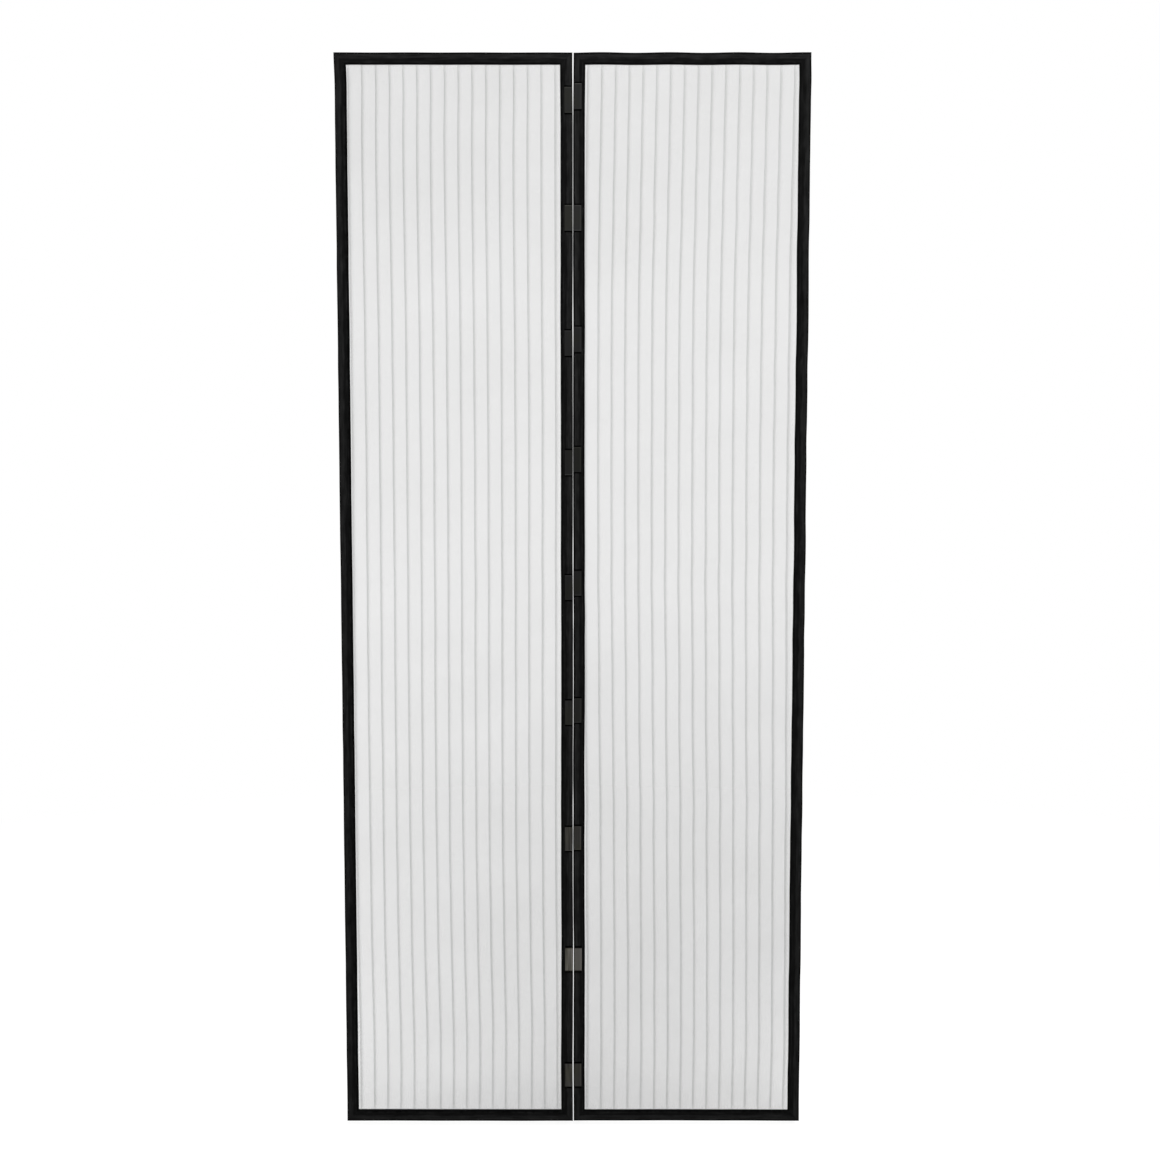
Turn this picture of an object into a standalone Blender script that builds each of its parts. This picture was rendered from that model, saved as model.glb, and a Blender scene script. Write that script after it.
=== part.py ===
# Door insect screen: two leaves of ribbed net that hang side by side in a doorway and
# close on each other with magnets. Each leaf is a net panel bound on four sides with
# folded tape, nine flexible magnets sewn on the tape of its meeting edge, and loop strips
# sewn on the back of its top and outer tapes, which hold it to the door frame.
#
# Units are metres. X runs across the doorway, -Y faces the room, +Z is up.
# The origin is the middle of the doorway at the hem.

import math

import bmesh
import bpy
from mathutils import Vector

# Leaves
LEAF_HEIGHT = 2.100
LEAF_WIDTH = 0.450
LEAF_SIDES = {"left": -1, "right": 1}

# Meeting line: the leaves touch at one height and part slowly above and below it
TOUCH_HEIGHT = 1.320
TOUCH_GAP = 0.0005
GAP_GROWTH = 0.0026  # wider for each metre away from where the leaves touch

# Clearance that neighbouring pieces keep where they are sewn or pressed together
SEAM_CLEARANCE = 0.0003

# Net, with raised ribs knitted in from top to bottom
NET_THICKNESS = 0.0005
NET_TUCK = 0.018  # how far the net reaches into the fold of the tape
RIB_PITCH = 0.02615
RIB_MARGIN = 0.0280  # least distance from the leaf's edge to its first rib
RIB_FACE = 0.0020  # from the steep foot of a rib to its crest
RIB_SLOPE = 0.0065  # from the crest to the soft foot
RIB_HEIGHT = 0.0011
BAY_SAG = 0.0007  # how far the net bellies back between two ribs
RIB_FADE = 0.010  # ribs flatten over this length before they enter the tape
RIB_WANDER = 0.0014  # how far the middle ribs stray to each side on their way down
WANDER_LENGTH = 0.95  # height in which a rib strays to both sides and comes back
WANDER_STEP = 0.155  # height between two rows of points on the net

# Binding tape, folded round the edge of the net
TAPE_THICKNESS = 0.0007
TAPE_WIDTH = 0.0225  # folded width at the top, the hem and the outer edge
MEETING_TAPE_WIDTH = 0.0220
TAPE_CROWN = 0.0003  # how much the front face rises along its middle
FOLD_STEPS = 6

# Flexible magnets, in pairs down the meeting line
MAGNET_LENGTH = 0.049
MAGNET_WIDTH = 0.0148
MAGNET_THICKNESS = 0.0015
MAGNET_ROUNDING = 0.0004
MAGNET_ROUNDING_STEPS = 2
MAGNET_INSET = {"left": 0.0005, "right": 0.0016}  # from the meeting edge to the magnet
FIRST_MAGNET_DROP = 0.0885  # from the top edge to the middle of the first magnet
LAST_MAGNET_RISE = 0.0955  # from the hem to the middle of the last magnet
# Sewn by eye: how far each left magnet sits above an even spacing, from the top down,
# and how far each right magnet sits above its partner
MAGNET_LIFT = (0, 0.018, 0.0195, 0.029, 0.0245, 0.017, 0.0035, -0.0015, 0)
PARTNER_LIFT = (0.007, 0, 0.007, 0.006, 0.009, 0.0045, 0.002, 0, 0)

# Loop strips on the back, which fasten the leaf to the door frame
STRIP_WIDTH = 0.016
STRIP_THICKNESS = 0.0018
STRIP_END_MARGIN = 0.006  # from the end of a strip to the leaf's edge

# Colours and finishes as (red, green, blue), roughness
FINISHES = {
    "net": ((0.80, 0.80, 0.80), 0.85),
    "tape": ((0.010, 0.010, 0.010), 0.75),
    "magnet": ((0.030, 0.029, 0.026), 0.45),
    "loop_strip": ((0.012, 0.012, 0.012), 0.90),
}

# Half of the space inside the fold, and the tape's own middle surface round it
FOLD_HALF_SPACE = NET_THICKNESS / 2 + SEAM_CLEARANCE
FOLD_RADIUS = FOLD_HALF_SPACE + TAPE_THICKNESS / 2
TAPE_BACK = FOLD_RADIUS + TAPE_THICKNESS / 2
TAPE_FRONT = -TAPE_BACK - TAPE_CROWN


# Shared tools


def clear_scene():
    for obj in list(bpy.data.objects):
        bpy.data.objects.remove(obj)


def make_collection(name):
    collection = bpy.data.collections.new(name)
    bpy.context.scene.collection.children.link(collection)
    return collection


def make_material(name):
    colour, roughness = FINISHES[name]
    material = bpy.data.materials.new(name)
    material.use_nodes = True
    shader = material.node_tree.nodes["Principled BSDF"]
    shader.inputs["Base Color"].default_value = (*colour, 1)
    shader.inputs["Roughness"].default_value = roughness
    shader.inputs["Metallic"].default_value = 0
    material.diffuse_color = (*colour, 1)
    return material


def add_object(name, mesh, collection, material):
    obj = bpy.data.objects.new(name, mesh)
    collection.objects.link(obj)
    if material and not mesh.materials:
        mesh.materials.append(material)
    return obj


def smooth_shade(mesh, angle=math.radians(40)):
    mesh.shade_smooth()
    mesh.set_sharp_from_angle(angle=angle)


def add_sheet(name, columns, rows, place, thickness, collection, material):
    # A grid whose point (column, row) is moved to place(column, row), given its thickness
    # evenly on both sides
    shape = bmesh.new()
    bmesh.ops.create_grid(shape, x_segments=columns - 1, y_segments=rows - 1, size=1)
    for vert in shape.verts:
        column = round((vert.co.x + 1) / 2 * (columns - 1))
        row = round((vert.co.y + 1) / 2 * (rows - 1))
        vert.co = place(column, row)
    mesh = bpy.data.meshes.new(name)
    shape.to_mesh(mesh)
    shape.free()
    smooth_shade(mesh)
    obj = add_object(name, mesh, collection, material)
    solidify = obj.modifiers.new("thickness", "SOLIDIFY")
    solidify.thickness = thickness
    solidify.offset = 0
    solidify.use_even_offset = True
    return obj


def add_block(name, low, high, collection, material):
    # A cube primitive stretched between two opposite corners
    centre = (Vector(low) + Vector(high)) / 2
    size = Vector(high) - Vector(low)
    shape = bmesh.new()
    bmesh.ops.create_cube(shape, size=1)
    bmesh.ops.scale(shape, vec=size, verts=shape.verts)
    mesh = bpy.data.meshes.new(name)
    shape.to_mesh(mesh)
    shape.free()
    obj = add_object(name, mesh, collection, material)
    obj.location = centre
    return obj


# Layout of a leaf. "Out" is the distance from the middle of the doorway.


def meeting_out(height):
    return (TOUCH_GAP + GAP_GROWTH * abs(height - TOUCH_HEIGHT)) / 2


WIDEST_MEETING_OUT = max(meeting_out(0), meeting_out(LEAF_HEIGHT))
OUTER_OUT = WIDEST_MEETING_OUT + LEAF_WIDTH


def magnet_heights(side_name):
    # Even spacing between the first and the last, with the sewing errors added
    count = len(MAGNET_LIFT)
    first = LEAF_HEIGHT - FIRST_MAGNET_DROP
    spacing = (first - LAST_MAGNET_RISE) / (count - 1)
    heights = []
    for index in range(count):
        height = first - index * spacing + MAGNET_LIFT[index]
        if side_name == "right":
            height += PARTNER_LIFT[index]
        heights.append(height)
    return heights


# Net


def rib_centres():
    # As many ribs as fit at their pitch, centred on the leaf
    room = LEAF_WIDTH - 2 * RIB_MARGIN
    count = int(room / RIB_PITCH) + 1
    middle = OUTER_OUT - LEAF_WIDTH / 2
    first = middle - (count - 1) * RIB_PITCH / 2
    return [first + index * RIB_PITCH for index in range(count)]


def net_section(side):
    # Points across the net as (x, rise, rib): flat in the tapes, with a steep and a soft
    # side to every rib. All ribs lean the same way in both leaves, as the net comes off
    # its roll. "Rib" counts ribs from the left, and is nothing where the net can't stray.
    inner = WIDEST_MEETING_OUT + MEETING_TAPE_WIDTH - NET_TUCK
    outer = OUTER_OUT - TAPE_WIDTH + NET_TUCK
    ends = sorted((side * inner, side * outer))
    points = [(ends[0], 0, None)]
    ribs = sorted(side * out for out in rib_centres())
    for index, crest in enumerate(ribs):
        points.append((crest - RIB_FACE, 0, index))
        points.append((crest, -RIB_HEIGHT, index))
        points.append((crest + RIB_SLOPE, 0, index))
        if index < len(ribs) - 1:
            next_foot = ribs[index + 1] - RIB_FACE
            bay = (crest + RIB_SLOPE + next_foot) / 2
            points.append((bay, BAY_SAG, index + 0.5))
    points.append((ends[1], 0, None))
    return points


def net_rows():
    # Heights down the net with the share of the full rib height at each
    tucked = TAPE_WIDTH - NET_TUCK
    faded = TAPE_WIDTH + RIB_FADE
    free = LEAF_HEIGHT - 2 * faded
    steps = max(1, round(free / WANDER_STEP))
    rows = [(tucked, 0), (TAPE_WIDTH, 0)]
    rows += [(faded + free * step / steps, 1) for step in range(steps + 1)]
    rows += [(LEAF_HEIGHT - TAPE_WIDTH, 0), (LEAF_HEIGHT - tucked, 0)]
    return rows


def stray(rib, rib_count, height):
    # Sideways stray of a rib: a slow wave down its length, out of step with its
    # neighbours, that grows from nothing at the leaf's edges to the full size mid-leaf
    if rib is None:
        return 0
    freedom = math.sin(math.pi * (rib + 0.5) / rib_count)
    turn = 2 * math.pi * height / WANDER_LENGTH
    return RIB_WANDER * freedom * math.sin(turn + rib)


def add_net(side_name, side, collection, material):
    section = net_section(side)
    rows = net_rows()
    rib_count = len(rib_centres())

    def place(column, row):
        x, rise, rib = section[column]
        height, share = rows[row]
        sway = share * stray(rib, rib_count, height)
        return Vector((x + sway, rise * share, height))

    name = f"net_{side_name}"
    return add_sheet(
        name, len(section), len(rows), place, NET_THICKNESS, collection, material
    )


# Binding tapes


def tape_section(width):
    # Middle surface across a folded tape as (depth from the outer edge, y): the front
    # flap, half a turn round the net's edge, and the back flap
    centre = TAPE_THICKNESS / 2 + FOLD_RADIUS
    front_middle = (centre + width) / 2
    points = [(width, -FOLD_RADIUS), (front_middle, -FOLD_RADIUS - TAPE_CROWN)]
    for step in range(FOLD_STEPS + 1):
        angle = math.pi * (step / FOLD_STEPS - 0.5)
        depth = centre - FOLD_RADIUS * math.cos(angle)
        points.append((depth, FOLD_RADIUS * math.sin(angle)))
    points.append((width, FOLD_RADIUS))
    return points


def mitre_trim(depth, width, next_width):
    # How much shorter a tape is at this depth, so that it meets the next tape on the line
    # from the leaf's corner to the corner of the net
    return depth * next_width / width + SEAM_CLEARANCE


def add_level_tape(name, side, edge_height, inward, collection, material):
    # The tape along the top edge (inward -1) or the hem (inward +1)
    section = tape_section(TAPE_WIDTH)

    def place(column, row):
        depth, y = section[column]
        if row == 0:
            trim = mitre_trim(depth, TAPE_WIDTH, MEETING_TAPE_WIDTH)
            out = meeting_out(edge_height) + trim
        else:
            out = OUTER_OUT - mitre_trim(depth, TAPE_WIDTH, TAPE_WIDTH)
        return Vector((side * out, y, edge_height + inward * depth))

    return add_sheet(name, len(section), 2, place, TAPE_THICKNESS, collection, material)


def add_outer_tape(name, side, collection, material):
    section = tape_section(TAPE_WIDTH)

    def place(column, row):
        depth, y = section[column]
        trim = mitre_trim(depth, TAPE_WIDTH, TAPE_WIDTH)
        height = trim if row == 0 else LEAF_HEIGHT - trim
        return Vector((side * (OUTER_OUT - depth), y, height))

    return add_sheet(name, len(section), 2, place, TAPE_THICKNESS, collection, material)


def add_meeting_tape(name, side, collection, material):
    # Three rows of points: the tape bends where the leaves touch
    section = tape_section(MEETING_TAPE_WIDTH)

    def place(column, row):
        depth, y = section[column]
        trim = mitre_trim(depth, MEETING_TAPE_WIDTH, TAPE_WIDTH)
        height = (trim, TOUCH_HEIGHT, LEAF_HEIGHT - trim)[row]
        return Vector((side * (meeting_out(height) + depth), y, height))

    return add_sheet(name, len(section), 3, place, TAPE_THICKNESS, collection, material)


def add_tapes(side_name, side, collection, material):
    add_level_tape(f"top_tape_{side_name}", side, LEAF_HEIGHT, -1, collection, material)
    add_level_tape(f"hem_tape_{side_name}", side, 0, 1, collection, material)
    add_outer_tape(f"outer_tape_{side_name}", side, collection, material)
    add_meeting_tape(f"meeting_tape_{side_name}", side, collection, material)


# Magnets


def add_magnets(side_name, side, collection, material):
    # Each lies on the crown of the meeting tape, close to its outer edge
    back = TAPE_FRONT - SEAM_CLEARANCE
    front = back - MAGNET_THICKNESS
    for index, height in enumerate(magnet_heights(side_name), 1):
        inner = meeting_out(height) + MAGNET_INSET[side_name]
        xs = sorted((side * inner, side * (inner + MAGNET_WIDTH)))
        low = (xs[0], front, height - MAGNET_LENGTH / 2)
        high = (xs[1], back, height + MAGNET_LENGTH / 2)
        name = f"magnet_{side_name}_{index}"
        magnet = add_block(name, low, high, collection, material)
        rounding = magnet.modifiers.new("rounding", "BEVEL")
        rounding.width = min(MAGNET_ROUNDING, MAGNET_THICKNESS / 3)
        rounding.segments = MAGNET_ROUNDING_STEPS
        smooth_shade(magnet.data)


# Loop strips


def add_strips(side_name, side, collection, material):
    front = TAPE_BACK + SEAM_CLEARANCE
    back = front + STRIP_THICKNESS
    edge = (TAPE_WIDTH - STRIP_WIDTH) / 2
    side_outs = (OUTER_OUT - edge - STRIP_WIDTH, OUTER_OUT - edge)
    top_outs = (
        WIDEST_MEETING_OUT + STRIP_END_MARGIN,
        OUTER_OUT - TAPE_WIDTH - STRIP_END_MARGIN,
    )
    top_heights = (LEAF_HEIGHT - edge - STRIP_WIDTH, LEAF_HEIGHT - edge)
    side_heights = (STRIP_END_MARGIN, LEAF_HEIGHT - STRIP_END_MARGIN)
    for name, outs, heights in (
        (f"top_loop_strip_{side_name}", top_outs, top_heights),
        (f"side_loop_strip_{side_name}", side_outs, side_heights),
    ):
        xs = sorted(side * out for out in outs)
        low = (xs[0], front, heights[0])
        high = (xs[1], back, heights[1])
        add_block(name, low, high, collection, material)


def build():
    clear_scene()
    screen = make_collection("door_insect_screen")
    materials = {name: make_material(name) for name in FINISHES}
    for side_name, side in LEAF_SIDES.items():
        add_net(side_name, side, screen, materials["net"])
        add_tapes(side_name, side, screen, materials["tape"])
        add_magnets(side_name, side, screen, materials["magnet"])
        add_strips(side_name, side, screen, materials["loop_strip"])


build()
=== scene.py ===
# Door insect screen: the looks of its two leaves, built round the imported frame.
# Metres throughout. X runs across the doorway, -Y faces the room, Z is up.

import bpy
import bmesh
import math
import numpy as np
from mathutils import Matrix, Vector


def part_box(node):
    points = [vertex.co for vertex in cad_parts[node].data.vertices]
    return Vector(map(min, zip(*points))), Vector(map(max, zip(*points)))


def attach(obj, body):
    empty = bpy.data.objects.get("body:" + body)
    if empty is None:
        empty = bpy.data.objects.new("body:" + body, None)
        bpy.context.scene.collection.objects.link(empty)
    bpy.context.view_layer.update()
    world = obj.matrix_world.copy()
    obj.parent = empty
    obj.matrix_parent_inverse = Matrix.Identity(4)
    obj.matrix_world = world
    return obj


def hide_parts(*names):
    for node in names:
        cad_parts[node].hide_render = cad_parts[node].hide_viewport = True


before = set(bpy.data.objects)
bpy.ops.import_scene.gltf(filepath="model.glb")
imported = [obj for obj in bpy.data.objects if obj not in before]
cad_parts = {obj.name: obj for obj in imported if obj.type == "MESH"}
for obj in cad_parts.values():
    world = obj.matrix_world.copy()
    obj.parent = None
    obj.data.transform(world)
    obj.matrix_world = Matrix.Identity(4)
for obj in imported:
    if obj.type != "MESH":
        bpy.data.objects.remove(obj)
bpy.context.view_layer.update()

# Every leaf is drawn flat first and hung afterwards, so all its pieces move together.
# In the flat leaf, "across" runs from the meeting edge to the outer edge and "z" runs up.
leaf = {
    "height": 2.100,
    "width": 0.45148,
    # From the doorway's middle to the outer edge, at the hem and at the top
    "outerOut": {"left": (0.45140, 0.45190), "right": (0.45198, 0.45198)},
    # How far each leaf's outer top corner is pulled out, and how far down this is felt
    "cornerOut": {"left": 0.0014, "right": -0.0015},
    "cornerReach": 0.06,
    "tapeWidths": {
        "left": {"top": 0.0231, "hem": 0.0242, "outer": 0.0231, "meeting": 0.0233},
        "right": {"top": 0.0231, "hem": 0.0233, "outer": 0.0231, "meeting": 0.0224}},
    # How far the gap lies to the right of the middle, in millimetres, by height
    "middleHeights": (0, 0.13, 0.22, 0.30, 0.35, 0.50, 0.72, 0.90, 1.02, 1.10, 1.90, 2.10),
    "middleMillimetres": (0.8, 0.35, 0.6, 0.95, 1.2, 0.25, 0.25, 0.8, 0.75, 0.3, 0.1, 0.3),
    # How wide the gap is, in millimetres, by height
    "gapHeights": (0, 0.13, 0.22, 0.34, 0.42, 0.54, 0.58, 0.64, 0.70, 0.83, 0.94, 0.98,
                   1.02, 1.08, 1.14, 1.22, 1.34, 1.50, 1.60, 1.65, 1.72, 1.83, 1.95, 2.10),
    "gapMillimetres": (1.4, 1.4, 1.1, 1.1, 0.6, 0.8, 0.5, 1.2, 0.4, 0.7, 0.9, 0.6,
                       1.1, 0.6, 1.3, 0.6, 0.3, 0.6, 1.5, 1.0, 0.4, 0.7, 0.6, 2.4),
    "usualGap": 0.0009,
    "follow": {"left": 0.0, "right": 0.8},  # how much of the gap's change the leaf follows
    "sway": {"left": 0.00025, "right": 0.00030},  # of the outer edges
    "middleSway": 0.00012,
    "swayStep": 0.047,
    "swaySeed": 5,
    "spare": 0.1,  # how far the seeded noise goes on past the leaf
    "topRipple": {"left": 0.00015, "right": 0.0006},
    "hemRipple": 0.0001,
    "rippleLength": 0.130,
    "rippleCrest": 0.054,
    "rippleReach": 0.05,  # how far a ripple of the top edge or the hem is felt
    "hemPhase": (0.8, 1.1),  # how the hem's ripples are stretched and shifted
    "billow": 0.0011,
    "billowAtEdge": 0.35,  # the share left at the meeting edge
    # Waves of the belly: strength, half turns in the height, and shift across the leaf and
    # from leaf to leaf
    "waves": ((1.0, 2.1, 0, 1.3), (0.6, 5.3, 3, 1)),
    # The belly grows between these distances from the two fastened edges
    "heldOuter": (0.02, 0.12),
    "heldTop": (0.02, 0.15),
}

sides = {"left": -1, "right": 1}
edges = ("top", "hem", "outer", "meeting")


# Shapes


def smoothStep(value, low, high):
    # 0 below low, 1 above high, and an even S-curve between them
    t = np.clip((value - low) / (high - low), 0, 1)
    return t * t * (3 - 2 * t)


def plateau(value, low, high, reach):
    # 0 outside low and high, 1 farther in than the reach, and S-curves between them
    return smoothStep(value, low, low + reach) * smoothStep(high - value, 0, reach)


def bell(value, at, reach):
    # A bell curve, 1 at its place and nearly 0 two reaches away from it
    return np.exp(-((value - at) / reach) ** 2)


def between(z, heights, listed):
    # The value at height z: an S-curve from each listed height to the next
    heights, listed = np.array(heights), np.array(listed)
    z = np.clip(z, heights[0], heights[-1])
    after = np.clip(np.searchsorted(heights, z), 1, len(heights) - 1)
    share = smoothStep(z, heights[after - 1], heights[after])
    return listed[after - 1] * (1 - share) + listed[after] * share


def unevenness(seed, length, step, count=1):
    # Seeded noise along a line, count strands wide: random heights a step apart, joined by
    # S-curves. Returns a function of the distance along the line.
    rng = np.random.default_rng(seed)
    heights = rng.uniform(-1, 1, (int(length / step) + 3, count))

    def at(distance, strand=0):
        place = np.clip(distance / step, 0, len(heights) - 2)
        low = place.astype(int)
        share = smoothStep(place - low, 0, 1)
        return heights[low, strand] * (1 - share) + heights[low + 1, strand] * share

    return at


swayAlong = unevenness(leaf["swaySeed"], leaf["height"] + leaf["spare"], leaf["swayStep"], 3)


def hang(sideName, across, y, z):
    # From the flat leaf to the hung one. x is the meeting edge plus the share of the leaf's
    # width; the top edge and the hem ripple; and the cloth bellies a little between its edges.
    side = sides[sideName]
    height = leaf["height"]
    gap = between(z, leaf["gapHeights"], leaf["gapMillimetres"]) / 1000
    middle = between(z, leaf["middleHeights"], leaf["middleMillimetres"]) / 1000
    middle = middle + leaf["middleSway"] * swayAlong(z, 2)
    inner = gap / 2 + side * middle
    atHem, atTop = leaf["outerOut"][sideName]
    outer = atHem + (atTop - atHem) * z / height
    outer = outer + leaf["follow"][sideName] * (gap - leaf["usualGap"])
    outer = outer + leaf["sway"][sideName] * swayAlong(z, 0 if side < 0 else 1)
    outer = outer + leaf["cornerOut"][sideName] * smoothStep(
        z, height - leaf["cornerReach"], height)
    share = across / leaf["width"]
    out = inner + share * (outer - inner)
    phase = 2 * np.pi * (out - leaf["rippleCrest"]) / leaf["rippleLength"]
    stretch, shift = leaf["hemPhase"]
    top = leaf["topRipple"][sideName] * np.cos(phase)
    hem = leaf["hemRipple"] * np.cos(stretch * phase + shift)
    reach = leaf["rippleReach"]
    lift = top * np.exp((z - height) / reach) + hem * np.exp(-z / reach)
    wave = 0
    for strength, turns, shiftAcross, shiftLeaf in leaf["waves"]:
        wave = wave + strength * np.sin(
            turns * np.pi * z / height + shiftAcross * share + shiftLeaf * side)
    atEdge = leaf["billowAtEdge"]
    free = atEdge + (1 - atEdge) * np.sin(np.pi * np.clip(share, 0, 1))
    held = smoothStep(leaf["width"] - across, *leaf["heldOuter"])
    held = held * smoothStep(height - z, *leaf["heldTop"])
    return np.stack([side * out, y + leaf["billow"] * free * wave * held, z + lift], axis=-1)


def onEdge(edge, along, depth):
    # Across and up the flat leaf, for a place so far along an edge and so deep in from it
    return {"top": (along, leaf["height"] - depth), "hem": (along, depth),
            "outer": (leaf["width"] - depth, along), "meeting": (depth, along)}[edge]


def edgeLength(edge):
    return leaf["width"] if edge in ("top", "hem") else leaf["height"]


def gridFaces(rows, columns, wrap=False):
    # Quads of a grid of points, row by row. With wrap, the last column meets the first.
    across = columns if wrap else columns - 1
    row, column = np.meshgrid(np.arange(rows - 1), np.arange(across), indexing="ij")
    nextColumn = (column + 1) % columns
    corners = [row * columns + column, row * columns + nextColumn,
               (row + 1) * columns + nextColumn, (row + 1) * columns + column]
    return np.stack(corners, axis=-1).reshape(-1, 4)


def addObject(name, data):
    added = bpy.data.objects.new(name, data)
    bpy.context.scene.collection.objects.link(added)
    return added


def makePiece(node, points, faces, material, uv=None, values=None, caps=()):
    # A piece named after its node, in one word. points (n, 3), faces (m, 4), uv (m, 4, 2) in
    # metres, values: name to one number a point, or one for all
    first, *rest = node.split("_")
    name = first + "".join(map(str.capitalize, rest))
    mesh = bpy.data.meshes.new(name)
    mesh.from_pydata(points.tolist(), [], faces.tolist() + list(caps))
    mesh.validate()
    if uv is not None:
        layer = mesh.uv_layers.new(name="cloth")
        flat = np.zeros((len(mesh.loops), 2), np.float32)
        flat[:len(faces) * 4] = uv.reshape(-1, 2)
        layer.data.foreach_set("uv", flat.ravel())
    for label, numbers in (values or {}).items():
        attribute = mesh.attributes.new(label, "FLOAT", "POINT")
        attribute.data.foreach_set("value", np.resize(np.float32(numbers), len(points)))
    mesh.materials.append(material)
    mesh.shade_smooth()
    piece = addObject(name, mesh)
    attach(piece, "root")
    return piece


def turnOutward(piece, sharpDegrees):
    # Faces of a closed shape are made to point out
    shape = bmesh.new()
    shape.from_mesh(piece.data)
    bmesh.ops.recalc_face_normals(shape, faces=shape.faces)
    shape.to_mesh(piece.data)
    shape.free()
    piece.data.set_sharp_from_angle(angle=math.radians(sharpDegrees))


def makeTube(node, rings, material, sharpDegrees, uv=None, values=None):
    # A closed piece from rings of points, with one face over the first ring and the last
    rows, columns = rings.shape[:2]
    caps = [tuple(range(columns)), tuple(range((rows - 1) * columns, rows * columns))]
    piece = makePiece(node, rings.reshape(-1, 3), gridFaces(rows, columns, wrap=True),
                      material, uv, values, caps)
    turnOutward(piece, sharpDegrees)
    return piece


def gridUv(u, v):
    # The corner values of each quad of a grid, from one (rows, columns) array each. For a
    # wrapped grid, u and v have one more column than the points, so that the seam closes.
    corners = [np.stack([u[r, c], v[r, c]], axis=-1) for r, c in (
        (np.s_[:-1], np.s_[:-1]), (np.s_[:-1], np.s_[1:]),
        (np.s_[1:], np.s_[1:]), (np.s_[1:], np.s_[:-1]))]
    return np.stack(corners, axis=-2).reshape(-1, 4, 2)


# Node groups and materials


def newGroup(name, vector, numbers, outputs):
    # A group that takes one vector and some numbers, given with their usual values, and puts
    # out numbers. Returns it with the sockets to read from and those to write to.
    group = bpy.data.node_groups.new(name, "ShaderNodeTree")
    addSocket = group.interface.new_socket
    addSocket(vector, in_out="INPUT", socket_type="NodeSocketVector")
    for label, value in numbers.items():
        addSocket(label, in_out="INPUT", socket_type="NodeSocketFloat").default_value = value
    for label in outputs:
        addSocket(label, in_out="OUTPUT", socket_type="NodeSocketFloat")
    start, end = (group.nodes.new("NodeGroup" + way) for way in ("Input", "Output"))
    return group, start.outputs, end.inputs


def feed(tree, socket, value):
    # Another node's output is linked to the socket, and a plain value is set on it
    if isinstance(value, bpy.types.NodeSocket):
        tree.links.new(value, socket)
    else:
        socket.default_value = value


def feedNode(tree, node, **values):
    # Feeds a node's inputs by name, with an underscore for each space. Returns the node.
    for label, value in values.items():
        feed(tree, node.inputs[label.replace("_", " ")], value)
    return node


def addNode(tree, kind, **values):
    return feedNode(tree, tree.nodes.new("ShaderNode" + kind), **values)


def calc(tree, operation, *values, clamp=False):
    node = tree.nodes.new("ShaderNodeMath")
    node.operation = operation
    node.use_clamp = clamp
    for socket, value in zip(node.inputs, values):
        feed(tree, socket, value)
    return node.outputs[0]


def noiseNode(tree, vector, scale, detail=2.0, roughnessValue=0.5, stretch=None):
    # Noise on a vector, which may be stretched first to draw the noise out into streaks
    if stretch:
        vector = addNode(tree, "Mapping", Vector=vector, Scale=stretch).outputs[0]
    return addNode(tree, "TexNoise", Vector=vector, Scale=scale, Detail=detail,
                   Roughness=roughnessValue).outputs["Fac"]


def remap(tree, value, fromLow, fromHigh, toLow, toHigh):
    return addNode(tree, "MapRange", Value=value, From_Min=fromLow, From_Max=fromHigh,
                   To_Min=toLow, To_Max=toHigh).outputs["Result"]


def mixNode(tree, blend, share, first, second):
    node = tree.nodes.new("ShaderNodeMix")
    node.data_type = "RGBA"
    node.blend_type = blend
    return feedNode(tree, node, Factor=share, A=first, B=second).outputs["Result"]


def blended(tree, share, dark, light):
    # A colour between two, by a share from 0 to 1
    return mixNode(tree, "MIX", share, (*dark, 1), (*light, 1))


def times(tree, colour, factor):
    # A colour multiplied by a number or by another colour
    return mixNode(tree, "MULTIPLY", 1.0, colour, factor)


def makeWeaveGroup():
    # Plain weave in metres of cloth: rounded warp and weft yarns that pass over each other
    # in turn. Height is their relief, from 0 between them to 1 on a crown: the sine of each
    # yarn's own arch, and a lift where it passes over.
    group, start, end = newGroup(
        "wovenYarns", "Cloth", {"Warp Pitch": 0.0006, "Weft Pitch": 0.0004}, ["Height"])
    arch, lift = 0.6, 0.4
    cloth = addNode(group, "SeparateXYZ", Vector=start["Cloth"]).outputs
    warp = calc(group, "DIVIDE", cloth[0], start["Warp Pitch"])
    weft = calc(group, "DIVIDE", cloth[1], start["Weft Pitch"])
    parity = calc(group, "ADD", calc(group, "FLOOR", warp), calc(group, "FLOOR", weft))
    over = calc(group, "PINGPONG", parity, 1.0)
    heights = []
    for yarn, passes in ((warp, over), (weft, calc(group, "SUBTRACT", 1.0, over))):
        turn = calc(group, "MULTIPLY", yarn, math.pi)
        ridge = calc(group, "ABSOLUTE", calc(group, "SINE", turn))
        raised = calc(group, "MULTIPLY", passes, lift)
        heights.append(calc(group, "MULTIPLY_ADD", ridge, arch, raised))
    group.links.new(calc(group, "MAXIMUM", *heights), end["Height"])
    return group


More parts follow.
